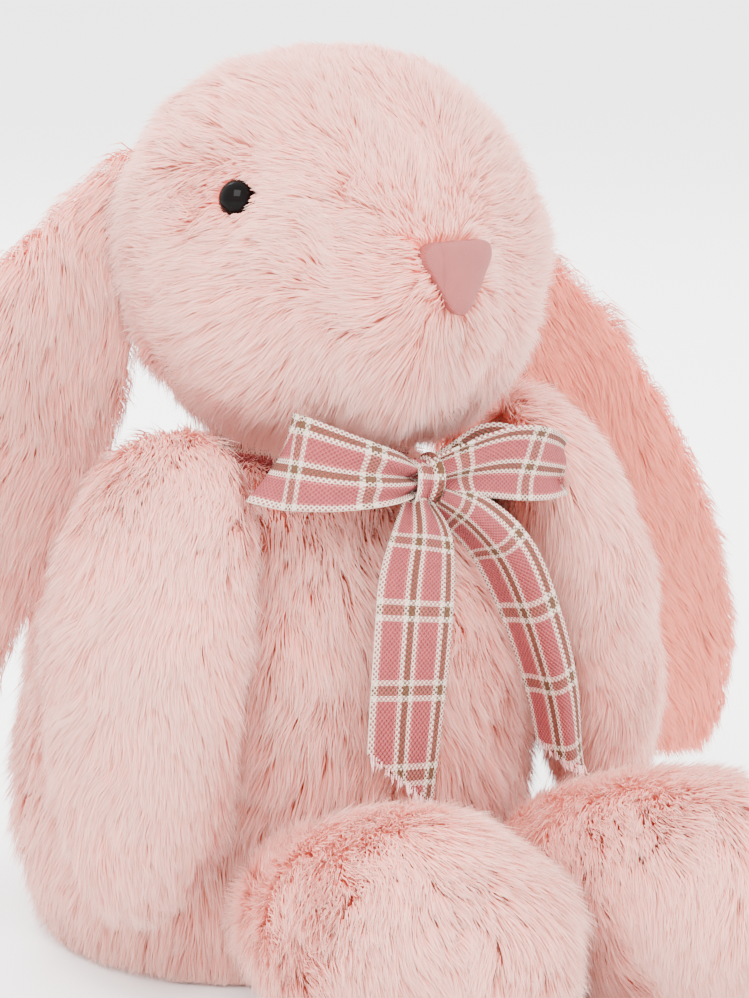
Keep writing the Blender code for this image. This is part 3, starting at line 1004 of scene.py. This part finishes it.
@dataclass
class Limb:
    """One side's ear, arm and leg."""

    side: Side
    ear_root: Triple = (0.0420, 0.005, 0.238)
    ear_bend: Triple = (0.091, 0.014, 0.150)
    ear_tip: Triple = (0.168, 0.030, 0.030)
    left_ear_out: float = 0.022
    arm_azimuth: float = radians(59.0)
    right_arm_hairs: int = 56000
    left_arm_hairs: int = 46000
    leg_hairs: int = 51000
    ear_hairs: int = 43000
    lining_hairs: int = 45000

    def ear_surface(self, face: int, depth: float, trim: float) -> Surface:
        """Half of the ear: face 1 is its back, face -1 its lining.

        Args:
            face: which half.
            depth: how far the half bulges from the middle sheet.
            trim: how far the edge stays inside the ear's outline.

        Returns:
            A function from the unit ball to the half ear.
        """
        a, b, c = (np.array(point) for point in (self.ear_root, self.ear_bend, self.ear_tip))
        if self.side is Side.LEFT:
            b[0], c[0] = b[0] + self.left_ear_out, c[0] + self.left_ear_out

        def shape(p: Array) -> Array:
            """Places on the half ear for points on the unit ball.

            Args:
                p: points on the unit ball, a row for each.

            Returns:
                Places on the half ear, in metres.
            """
            t = (1 - p[:, 2]) / 2
            middle = bezier(a, b, c, t)
            run = unit((b - a) * (1 - t)[:, None] + (c - b) * t[:, None])
            across = unit(np.stack([-run[:, 2], np.zeros(len(p)), run[:, 0]], axis=1))
            width = (0.028 + 0.022 * t - trim) * (0.50 + 0.50 * smooth(t / 0.30))
            place = middle + across * (p[:, 0] * width)[:, None]
            cup = -0.0065 * p[:, 0] ** 2 * smooth(t * 2.2) + 0.0035 * np.sin(7.0 * t + 0.6) * p[:, 0]
            bulge = face * (0.0003 + np.maximum(0.0, face * p[:, 1]) * depth)
            return np.stack([self.side.value * place[:, 0], place[:, 1] + bulge + cup, place[:, 2]], axis=1)

        return shape

    def ear_comb(self, places: Array) -> Array:
        """The ear's hair runs from root to tip."""
        return np.tile([0.50 * self.side.value, 0.04, -0.86], (len(places), 1))

    def arm_surface(self, p: Array) -> Array:
        """The outline of the arm's fur.

        Args:
            p: points on the unit ball, a row for each.

        Returns:
            Places on the outline, in metres.
        """
        out = np.array([sin(self.arm_azimuth), -cos(self.arm_azimuth), 0.0])
        forward = np.array([-cos(self.arm_azimuth), -sin(self.arm_azimuth), 0.0])
        t = (1 - p[:, 2]) / 2
        reach = (1 - t) ** 2 * 0.067 + 2 * t * (1 - t) * 0.096 + t**2 * 0.095
        height = (1 - t) ** 2 * 0.163 + 2 * t * (1 - t) * 0.128 + t**2 * 0.032
        full = np.hypot(p[:, 0], p[:, 1])
        plump = full ** 0.75 / np.maximum(full, 1e-9)
        place = out * (reach + p[:, 0] * plump * 0.019)[:, None]
        place = place + forward * (p[:, 1] * plump * 0.029)[:, None]
        places = np.stack([place[:, 0] * self.side.value, place[:, 1] - NECK_LEAN / 2, height], axis=1)
        return places + 0.0010 * ripple_vector(places, 0.03, 61)

    def arm_comb(self, places: Array) -> Array:
        """The arm's hair runs out over the shoulder and then down.

        Args:
            places: places on the skin, in metres.

        Returns:
            The way the hair lies at each place.
        """
        over = 1.3 * smooth((places[:, 2] - 0.125) / 0.035)
        out = np.array([self.side.value * sin(self.arm_azimuth), -cos(self.arm_azimuth), 0.0])
        return over[:, None] * out + np.array([0.0, -0.05, -1.0])

    def leg_comb(self, places: Array) -> Array:
        """The leg's hair runs forward along it and turns down over the foot."""
        drop = -0.15 - 1.2 * smooth((-0.125 - places[:, 1]) / 0.055)
        return np.stack([np.zeros(len(places)), np.full(len(places), -1.0), drop], axis=1)

    def leg_surface(self, p: Array) -> Array:
        """The outline of the leg's fur, widening into the foot.

        Args:
            p: points on the unit ball, a row for each.

        Returns:
            Places on the outline, in metres.
        """
        back, front = np.array([0.0435, -0.0660, 0.030]), np.array([0.0435, -0.187, 0.037])
        t = (1 - p[:, 2]) / 2
        middle = back + (front - back) * t[:, None]
        width, height = 0.030 + 0.013 * smooth(t), 0.028 + 0.011 * smooth(t)
        z = np.maximum(0.0, middle[:, 2] + p[:, 1] * height)
        places = np.stack([self.side.value * (middle[:, 0] + p[:, 0] * width), middle[:, 1], z], axis=1)
        return places + 0.0008 * ripple_vector(places, 0.03, 67) * (z > 0.01)[:, None]

    def build(self, cloth: bpy.types.Material, hair: bpy.types.Material,
              lining_cloth: bpy.types.Material, lining_hair: bpy.types.Material) -> None:
        """Makes this side's pieces.

        Args:
            cloth: the finish of the fabric under the hair.
            hair: the finish of the hair.
            lining_cloth: the finish of the fabric under the ear lining's hair.
            lining_hair: the finish of the ear lining's hair.
        """
        word, seed = self.side.word, 40 if self.side is Side.LEFT else 60
        self.build_ear(word, seed, cloth, hair, lining_cloth, lining_hair)
        arm = SewnForm("arm_fabric_" + word, "arm_" + word, self.arm_surface, ("arm_skin_" + word,), cloth,
                       segments=56, rings=56).build()
        arm_hairs = self.right_arm_hairs if self.side is Side.RIGHT else self.left_arm_hairs
        Coat("arm_fur_" + word, arm_hairs, self.arm_comb, hair, length=0.0130, seed=seed + 3,
             favour=towards_front).build(arm, "arm_" + word)
        leg = SewnForm("leg_fabric_" + word, "leg_" + word, self.leg_surface, ("leg_skin_" + word,), cloth,
                       segments=56, rings=56).build()
        Coat("leg_fur_" + word, self.leg_hairs, self.leg_comb, hair, length=0.0130, seed=seed + 4,
             favour=lambda q, n: (n[:, 2] > -0.75) * towards_front(q, n)).build(leg, "leg_" + word)

    def build_ear(self, word: str, seed: int, cloth: bpy.types.Material, hair: bpy.types.Material,
                  lining_cloth: bpy.types.Material, lining_hair: bpy.types.Material) -> None:
        """Makes the ear's two layers, each with its own pile.

        Args:
            word: the side as the nodes' names use it.
            seed: the first seed of this side's coats.
            cloth: the finish of the fabric under the hair.
            hair: the finish of the hair.
            lining_cloth: the finish of the fabric under the ear lining's hair.
            lining_hair: the finish of the ear lining's hair.
        """
        turned = self.side.value
        body = "ear_" + word
        back = SewnForm("ear_back_fabric_" + word, body, self.ear_surface(turned, 0.0048, 0.005),
                        ("ear_back_" + word,), cloth, inset=0.0, segments=56, rings=56, fill=0.2).build()
        Coat("ear_fur_" + word, self.ear_hairs, self.ear_comb, hair, length=0.0130, width=0.0004, seed=seed,
             lean=1.0, favour=lambda q, n: (n[:, 1] * turned > -0.15) * 1.0).build(back, body)
        front = SewnForm("ear_lining_fabric_" + word, body, self.ear_surface(-turned, 0.0040, 0.006),
                         ("ear_lining_" + word,), lining_cloth, slot="lining_fur", inset=0.0,
                         segments=56, rings=56, fill=0.2).build()
        Coat("ear_lining_fur_" + word, self.lining_hairs, self.ear_comb, lining_hair, length=0.0090,
             width=0.0004, lean=0.95, clump=0.25, slot="lining_fur", seed=seed + 1,
             favour=lambda q, n: (n[:, 1] * turned < 0.15) * 1.0).build(front, body)


# ---------------------------------------------------------------- the bow


@dataclass
class Strip:
    """A length of ribbon laid along a route.

    Attributes:
        name: the piece's name.
        body: the frame's body that it moves with.
        route: the ribbon's middle line, a row for each point it passes through.
        lean: the direction of the ribbon's width at each of those points.
        widths: how wide the ribbon lies there, gathers included.
        flat_length: the cut length.
        cut_width: the ribbon's width as it is used, half of it where it is folded in two.
    """

    name: str
    body: str
    route: Array
    lean: list[Triple]
    widths: list[float]
    replaces: tuple[str, ...]
    rests_on: list[str]
    held: str
    flat_length: float = 0.1
    cut_width: float = RIBBON_WIDTH
    steps: int = 90
    across: int = 28
    folds: float = 0.0
    fold_count: float = 2.5
    cup: float = 0.0
    slant: float = 0.0
    start: float = 0.0
    closed: bool = False

    def spread(self, values: Array, t: Array) -> Array:
        """Draws a smooth curve through evenly spaced rows.

        Args:
            values: rows of values, evenly spaced.
            t: where along the curve, from 0 to 1.

        Returns:
            A value at each t.
        """
        rows = len(values)
        if self.closed:
            extended = np.concatenate([values[-1:], values, values[:2]])
            at = t * rows
        else:
            before, after = 2 * values[:1] - values[1:2], 2 * values[-1:] - values[-2:-1]
            extended = np.concatenate([before, values, after])
            at = np.clip(t * (rows - 1), 0, rows - 1 - 1e-9)
        k = np.minimum(at.astype(int), len(extended) - 4)
        f = (at - k)[:, None]
        p0, p1, p2, p3 = (extended[k + n] for n in range(4))
        return 0.5 * (2 * p1 + (p2 - p0) * f + (2 * p0 - 5 * p1 + 4 * p2 - p3) * f**2
                      + (3 * p1 - p0 - 3 * p2 + p3) * f**3)

    def build(self) -> bpy.types.Object:
        """Lays the ribbon as a sheet and thickens it.

        Returns:
            The finished piece.
        """
        select_nothing()
        bpy.ops.mesh.primitive_grid_add(x_subdivisions=self.across, y_subdivisions=self.steps, size=2.0)
        obj = named(self.name)
        grid = get_points(obj.data)
        share, u = grid[:, 0], (grid[:, 1] + 1) / 2
        t = np.clip(u + self.slant * share * u**6, 0.0, 1.35)
        t_in = np.minimum(t, 1.0)
        middle = self.spread(self.route, t_in)
        ahead = self.spread(self.route, np.minimum(1.0, t_in + 0.01))
        behind = self.spread(self.route, np.maximum(0.0, t_in - 0.01))
        run = unit(ahead - behind)
        steps = np.diff(self.spread(self.route, np.linspace(0, 1, 200)), axis=0)
        route_length = float(np.linalg.norm(steps, axis=1).sum())
        middle = middle + run * ((t - t_in) * route_length)[:, None]
        lean = self.spread(np.array(self.lean, dtype=float), t_in)
        width = self.spread(np.array(self.widths, dtype=float)[:, None], t_in)[:, 0]
        wide = unit(lean - run * (lean * run).sum(axis=1, keepdims=True))
        out = unit(np.cross(run, wide))
        gather = np.clip(1 - width / self.cut_width, 0, 1)
        wave = self.folds * gather * np.sin(self.fold_count * pi * share + 0.8)
        uneven = 0.0005 * ripple(middle + wide * share[:, None] * 0.012, 0.02, 77)
        wave = wave + self.cup * (1 - share**2) + uneven
        put = middle + wide * (share * width / 2)[:, None] + out * wave[:, None]
        put_points(obj, put)
        cloth = np.stack([(share + 1) / 2 * self.cut_width, self.start + t * self.flat_length], axis=1)
        lay_map(obj.data, "ribbon", cloth)
        thick = obj.modifiers.new("thickness", "SOLIDIFY")
        thick.thickness = RIBBON_THICKNESS
        thick.offset = 0.0
        bpy.ops.object.modifier_apply(modifier=thick.name)
        bpy.ops.object.shade_smooth()
        dress(obj, RIBBON_CLOTH, self.body, self.replaces)
        log.info("ribbon %s: route %.1f mm", self.name, route_length * 1000)
        return obj


@dataclass
class Bow:
    """The neck ribbon and its bow: two gathered loops, a wrapped knot and two tails."""

    fringe_length: float = 0.0028
    fringe_yarns: int = 46
    band_share: float = 0.62
    band_drop: float = 0.0025

    def __post_init__(self) -> None:
        """Takes the knot's place and the band's place from the frame."""
        self.knot = box_facts("bow_knot")[0]
        self.band, self.band_half = box_facts("neck_band")

    def along(self, *places: Triple) -> Array:
        """A route whose places are measured from the middle of the knot, in millimetres."""
        return self.knot + np.array(places) / 1000

    def loops(self) -> list[Strip]:
        """The two loops, each run out along the front and back behind.

        Returns:
            The two loops.
        """
        near = Strip(
            "ribbon_loop_right", "torso",
            self.along((-1, -1.5, 1), (-14, -7.5, 3.5), (-32, -8.5, 7), (-46, -4.5, 10.5),
             (-49.5, 0.5, 11.2), (-44, 4.0, 10), (-28, 6.5, 6), (-12, 3.5, 2.5),
             (-1, 1.5, 1)),
            [(0.05, 0.1, 1), (0.20, 0.0, 1), (0.45, 0.0, 1), (0.75, 0.0, 1), (0.85, 0.0, 1), (0.75, 0.0, 1),
             (0.40, 0, 1), (0.15, 0, 1), (0, 0, 1)],
            [0.0085, 0.0150, 0.0220, 0.0270, 0.0285, 0.0270, 0.0215, 0.0150, 0.0085],
            ("bow_loop_right",), ["ribbon_knot", "torso_fabric"], "gathered",
            flat_length=0.112, steps=120, folds=0.0022, fold_count=2.3, cup=0.0008, start=0.0045)
        far = Strip(
            "ribbon_loop_left", "torso",
            self.along((1, -1.5, 1), (12, -7.0, 3.5), (28, -8.0, 4.0), (44, -4.5, 1.0),
             (53, 0.5, -1.2), (45, 4.5, -0.5), (28, 6.0, 3.0), (12, 3.5, 1.5),
             (1, 1.5, 1)),
            [(0, -0.1, 1), (-0.05, -0.2, 1), (0.05, -0.25, 1), (0.1, -0.1, 1), (0.15, 0.05, 1),
             (0.1, 0.05, 1), (0, 0, 1), (0, 0, 1), (0, 0, 1)],
            [0.0085, 0.0160, 0.0225, 0.0200, 0.0150, 0.0190, 0.0215, 0.0150, 0.0085],
            ("bow_loop_left",), ["ribbon_knot", "torso_fabric"], "gathered",
            flat_length=0.115, steps=120, folds=0.0026, fold_count=1.6, cup=-0.0012, start=0.0120)
        return [near, far]

    def tails(self) -> list[Strip]:
        """The two tails, the right one flat and wide, the left one folded lengthwise.

        Returns:
            The two tails.
        """
        right = Strip(
            "ribbon_tail_right", "bow_tail_right",
            self.along((-3, -2.5, -5), (-5, -7.5, -14), (-8, -9.5, -28), (-10.5, -10.5, -46),
             (-12.5, -10.8, -64), (-14.5, -10.5, -84)),
            [(1, -0.1, 0.0), (1, -0.15, 0.05), (1, -0.1, 0.05), (1, -0.05, 0.02), (1, 0, 0), (1, 0.05, 0)],
            [0.0100, 0.0190, 0.0245, 0.0255, 0.0255, 0.0255],
            ("bow_tail_right",), ["ribbon_knot", "torso_fabric"], "hung",
            flat_length=0.085, folds=0.0022, fold_count=1.8, cup=0.0010, slant=0.085, start=0.0060)
        left = Strip(
            "ribbon_tail_left", "bow_tail_left",
            self.along((4, -2.5, -5), (14, -7.5, -12), (25, -8.0, -24), (36, -6.5, -45),
             (45, -3.5, -66), (50, -2.0, -87)),
            [(0.9, -0.3, 0.5), (0.8, -0.5, 0.4), (0.75, -0.6, 0.2), (0.75, -0.6, 0.1), (0.8, -0.5, 0.1),
             (0.9, -0.4, 0.1)],
            [0.0090, 0.0150, 0.0180, 0.0170, 0.0150, 0.0125],
            ("bow_tail_left",), ["ribbon_knot", "torso_fabric"], "hung",
            flat_length=0.098, folds=0.0060, fold_count=0.9, cup=0.0015, slant=0.06, start=0.0140)
        return [right, left]

    def wraps(self) -> list[Strip]:
        """The knot's wrap and the ribbon round the neck, both folded in half lengthwise.

        Returns:
            The knot and the neck band.
        """
        turns = [2 * pi * k / 8 for k in range(8)]
        knot = Strip(
            "ribbon_knot", "torso",
            self.along(*((0.6 * sin(2 * a), -5.6 * cos(a), 7.2 * sin(a)) for a in turns)),
            [(1, 0.05, 0.10)] * 8, [0.0088, 0.0080, 0.0076, 0.0082, 0.0088, 0.0082, 0.0078, 0.0084],
            ("bow_knot",), ["ribbon_loop_left", "ribbon_loop_right"], "folded",
            flat_length=0.0405, cut_width=FOLDED_WIDTH, steps=90, folds=0.0016, fold_count=1.6, cup=0.0006,
            closed=True)
        reach = float(self.band_half[:2].mean()) * self.band_share
        x, y, z = self.band
        band = Strip(
            "ribbon_neck_band", "torso",
            np.array([(x + reach * sin(a), y - reach * cos(a), z - self.band_drop) for a in turns]),
            [(0, 0, 1)] * 8, [0.0110] * 8, ("neck_band",), ["torso_fabric"], "folded",
            flat_length=0.1780, cut_width=FOLDED_WIDTH, steps=180, folds=0.0020, fold_count=1.0, closed=True)
        return [knot, band]

    def fringe(self, strip: Strip, tail: bpy.types.Object) -> None:
        """Frayed yarns along a tail's cut end.

        Args:
            strip: the tail as it was laid.
            tail: its finished piece.
        """
        rng = np.random.default_rng(len(strip.name) + int(strip.slant * 1000))
        count = self.fringe_yarns
        points = get_points(tail.data)
        layer = np.empty(len(tail.data.loops) * 2, dtype=np.float32)
        tail.data.uv_layers[0].data.foreach_get("uv", layer)
        cloth = np.zeros((len(points), 2))
        cloth[corner_points(tail.data)] = layer.reshape(-1, 2)
        share = np.linspace(0.02, 0.98, count) * RIBBON_WIDTH + rng.normal(scale=0.0002, size=count)
        edge = []
        for x in share:
            band = np.abs(cloth[:, 0] - x) < 0.0006
            edge.append(points[band][np.argmax(cloth[band][:, 1])])
        root = np.array(edge)
        run = unit(strip.route[-1] - strip.route[-2])
        loose = run + rng.normal(scale=0.20, size=(count, 3))
        reach = self.fringe_length * rng.uniform(0.35, 1.2, size=(count, 1))
        wide = unit(np.cross(run, [0.0, 1.0, 0.0])) * 0.00022
        middle = root + loose * reach * 0.5
        tip = root + loose * reach + rng.normal(scale=0.0004, size=(count, 3))
        start = root - run * 0.0012
        blades = np.stack([start - wide, start + wide, middle + wide, middle - wide, tip], axis=1)
        obj = blade_mesh("fray_" + strip.body, blades, rng)
        dress(obj, FRAY, strip.body)

    def build(self) -> None:
        """Lays every ribbon and frays the tails."""
        for strip in self.loops() + self.wraps():
            strip.build()
        for strip in self.tails():
            self.fringe(strip, strip.build())


# ---------------------------------------------------------------- finishes


def ribbon_cloth() -> bpy.types.Material:
    """Woven check ribbon: rose blocks with a basket grain, ruled by off-white and brown yarns both ways.

    Returns:
        The finished material.
    """
    finish = Finish("woven_check_ribbon", roughness=0.85)
    across, along = finish.map_axes("ribbon")
    share, turn = across / RIBBON_WIDTH, (along / CHECK_REPEAT).fraction()
    rose, pale = (0.190, 0.016, 0.021), (0.38, 0.085, 0.080)
    white, brown = (0.60, 0.47, 0.38), (0.080, 0.026, 0.005)
    warp = (across / YARN * 2 * pi).sine()
    weft = (along / YARN * 2 * pi).sine()
    basket = (warp * weft) * 0.5 + 0.5
    slub = finish.noise(420.0, 2.0)

    def band(value: Term, centre: float, half: float) -> Term:
        """1 within a stripe and 0 outside it."""
        return 1.0 - ((value - centre).size().above(half))

    white_up = band(share, 0.03, 0.04).most(band(share, 0.37, 0.028)).most(band(share, 0.51, 0.028))
    white_up = white_up.most(band(share, 0.84, 0.03)).most(band(share, 0.975, 0.03))
    brown_up = band(share, 0.44, 0.050).most(band(share, 0.91, 0.045))
    white_on = band(turn, 0.10, 0.035).most(band(turn, 0.30, 0.035))
    brown_on = band(turn, 0.20, 0.065)
    ground = finish.mix(basket.above(0.42), rose, pale)
    ground = finish.mix(band(share, 0.20, 0.11).most(band(share, 0.68, 0.11)) * 0.60, ground, rose)
    over = basket.above(0.45)
    colour = finish.mix(brown_up * (0.20 + 0.80 * over), ground, brown)
    colour = finish.mix(white_up * (0.08 + 0.92 * over), colour, white)
    under = 1.0 - over * 0.85
    colour = finish.mix(brown_on * under, colour, brown)
    colour = finish.mix(white_on * under, colour, white)
    shade = finish.node("ShaderNodeHueSaturation", Color=colour, Value=0.78 + 0.44 * slub)
    finish.set(Base_Color=shade)
    finish.bump(basket + slub * 0.3, 0.0006)
    return finish.material


def nose_cloth() -> bpy.types.Material:
    """Fine dusty-rose satin weave.

    Returns:
        The finished material.
    """
    finish = Finish("nose_satin_weave", roughness=0.62)
    x, z = finish.map_axes("cloth")
    warp, weft = (x * (2 * pi / 0.00055)).sine(), (z * (2 * pi / 0.00060)).sine()
    weave = warp * weft * 0.5 + 0.5
    cloud = finish.noise(160.0, 2.0)
    colour = finish.mix(weave * 0.55, (0.200, 0.036, 0.032), (0.300, 0.072, 0.064))
    shade = finish.node("ShaderNodeHueSaturation", Color=colour, Value=0.86 + 0.28 * cloud)
    finish.set(Base_Color=shade)
    finish.bump(weave + cloud * 0.4, 0.00018)
    return finish.material


def moulded(name: str, dark: Triple, light: Triple, roughness: float, coat: float) -> bpy.types.Material:
    """Moulded plastic with a faint cloud in its colour and its polish.

    Args:
        name: the name of the finish.
        dark: its darker colour.
        light: its lighter colour.
        roughness: how rough it is, from 0 to 1.
        coat: how much clear coat lies on it.

    Returns:
        The finished material.
    """
    finish = Finish(name, roughness=roughness)
    cloud = finish.noise(300.0, 3.0)
    finish.set(Base_Color=finish.mix(cloud, dark, light), Coat_Weight=coat, Coat_Roughness=0.03,
               Specular_IOR_Level=0.02)
    finish.set(Roughness=roughness * 0.8 + cloud * (roughness * 0.4))
    return finish.material


def fibre(name: str, dark: Triple, light: Triple, scale: float, depth: float) -> bpy.types.Material:
    """A dull textile or filling: mottled colour with a fibrous relief.

    Args:
        name: the name of the finish.
        dark: its darker colour.
        light: its lighter colour.
        scale: swells of its mottling in a metre.
        depth: the depth of its relief, in metres.

    Returns:
        The finished material.
    """
    finish = Finish(name, roughness=0.93)
    cloud = finish.noise(scale, 4.0)
    finish.set(Base_Color=finish.mix(cloud, dark, light))
    finish.bump(finish.noise(scale * 7, 3.0), depth)
    return finish.material


EYE_GLOSS = moulded("eye_black_gloss", (0.0010, 0.0008, 0.0008), (0.003, 0.002, 0.002), 0.05, 0.05)
EYE_RIM = moulded("eye_rim_plum", (0.012, 0.003, 0.003), (0.024, 0.008, 0.007), 0.25, 0.10)
WASHER_PLASTIC = moulded("washer_plastic", (0.70, 0.70, 0.68), (0.80, 0.80, 0.78), 0.4, 0.0)
RIBBON_CLOTH = ribbon_cloth()
NOSE_CLOTH = nose_cloth()
FRAY = fibre("ribbon_fray", (0.62, 0.20, 0.20), (0.82, 0.60, 0.55), 500.0, 0.0002)
FILLING = fibre("polyester_filling", (0.80, 0.79, 0.77), (0.92, 0.91, 0.90), 90.0, 0.0020)
CALICO = fibre("pellet_bag_calico", (0.66, 0.58, 0.46), (0.80, 0.73, 0.61), 500.0, 0.0004)

HIDDEN_NODES = [
    (FILLING, ["torso_stuffing", "head_stuffing", "tail_stuffing", "neck_core", "nose_padding",
               "arm_stuffing_left", "arm_stuffing_right", "leg_stuffing_left", "leg_stuffing_right"]),
    (CALICO, ["pellet_bag"]),
    (WASHER_PLASTIC, ["eye_washer_left", "eye_washer_right"]),
]


def dress_hidden_nodes() -> None:
    """Gives the stuffing, the pellet bag and the washers their finishes."""
    for material, nodes in HIDDEN_NODES:
        for node in nodes:
            mesh = bpy.data.objects[node].data
            mesh.materials.clear()
            mesh.materials.append(material)


# ---------------------------------------------------------------- the studio


@dataclass
class Studio:
    """A plain pale floor, soft boxes and the camera.

    Attributes:
        target: the place the camera looks at, from the middle of the knot.
        azimuth: degrees round from the front.
        elevation: degrees above level.
        distance: how far the camera stands off, in metres.
        frame_height: how much of the rabbit's height the picture takes in, in metres.
    """

    target: Triple = (-0.0105, 0.008, -0.005)
    azimuth: float = -35.0
    elevation: float = 10.0
    distance: float = 1.28
    frame_height: float = 0.285
    sensor: float = 36.0
    sky_strength: float = 4.2

    def floor(self) -> None:
        """A floor far larger than the view."""
        select_nothing()
        bpy.ops.mesh.primitive_plane_add(size=8.0, location=(0, 0, -0.0006))
        obj = named("studio_floor")
        finish = Finish("studio_paper", roughness=0.85)
        finish.set(Base_Color=finish.mix(finish.noise(1.5, 1.0), (0.86, 0.86, 0.86), (0.90, 0.90, 0.90)))
        obj.data.materials.append(finish.material)

    def sky(self) -> None:
        """Even white light from all round."""
        world = bpy.data.worlds.new("studio_sky")
        world.use_nodes = True
        light = world.node_tree.nodes["Background"].inputs
        light["Color"].default_value = (1.0, 0.99, 0.98, 1.0)
        light["Strength"].default_value = self.sky_strength
        bpy.context.scene.world = world

    def soft_box(self, name: str, place: Triple, size: float, power: float) -> None:
        """A square area light that faces the rabbit.

        Args:
            name: the light's name.
            place: where it stands, in metres.
            size: the length of its side, in metres.
            power: its power in watts.
        """
        data = bpy.data.lights.new(name, "AREA")
        data.size = size
        data.energy = power
        obj = bpy.data.objects.new(name, data)
        obj.location = place
        aim = Vector((0.0, -0.03, 0.13)) - Vector(place)
        obj.rotation_euler = aim.to_track_quat("-Z", "Y").to_euler()
        bpy.context.scene.collection.objects.link(obj)

    def camera(self) -> None:
        """The camera at the viewing angle."""
        knot = box_facts("bow_knot")[0]
        target = Vector(knot + np.array(self.target))
        turn, rise = radians(self.azimuth), radians(self.elevation)
        way = Vector((sin(turn) * cos(rise), -cos(turn) * cos(rise), sin(rise)))
        data = bpy.data.cameras.new("camera")
        data.lens = self.sensor * self.distance / self.frame_height
        data.clip_start = 0.05
        obj = bpy.data.objects.new("camera", data)
        obj.location = target + way * self.distance
        obj.rotation_euler = (-way).to_track_quat("-Z", "Y").to_euler()
        bpy.context.scene.collection.objects.link(obj)
        bpy.context.scene.camera = obj

    def build(self) -> None:
        """Sets floor, light and camera."""
        self.floor()
        self.sky()
        self.soft_box("key", (-1.1, -1.0, 1.5), 1.2, 85.0)
        self.soft_box("fill", (1.4, -1.2, 0.9), 1.4, 30.0)
        self.soft_box("back", (0.3, 1.4, 1.4), 1.2, 55.0)
        self.camera()


def main() -> None:
    """Builds the rabbit's looks and the studio."""
    logging.basicConfig(level=logging.INFO, format="%(name)s: %(message)s")
    pale_cloth, pale_hair = PALE_FUR.cloth("fur_backing"), PALE_FUR.blades("fur_pile")
    ear_cloth, ear_hair = EAR_FUR.cloth("lining_backing"), EAR_FUR.blades("lining_pile")
    Torso().build(pale_cloth, pale_hair)
    Face().build(pale_cloth, pale_hair)
    for side in Side:
        Limb(side).build(pale_cloth, pale_hair, ear_cloth, ear_hair)
    Bow().build()
    dress_hidden_nodes()
    Studio().build()


if __name__ == "__main__":
    main()
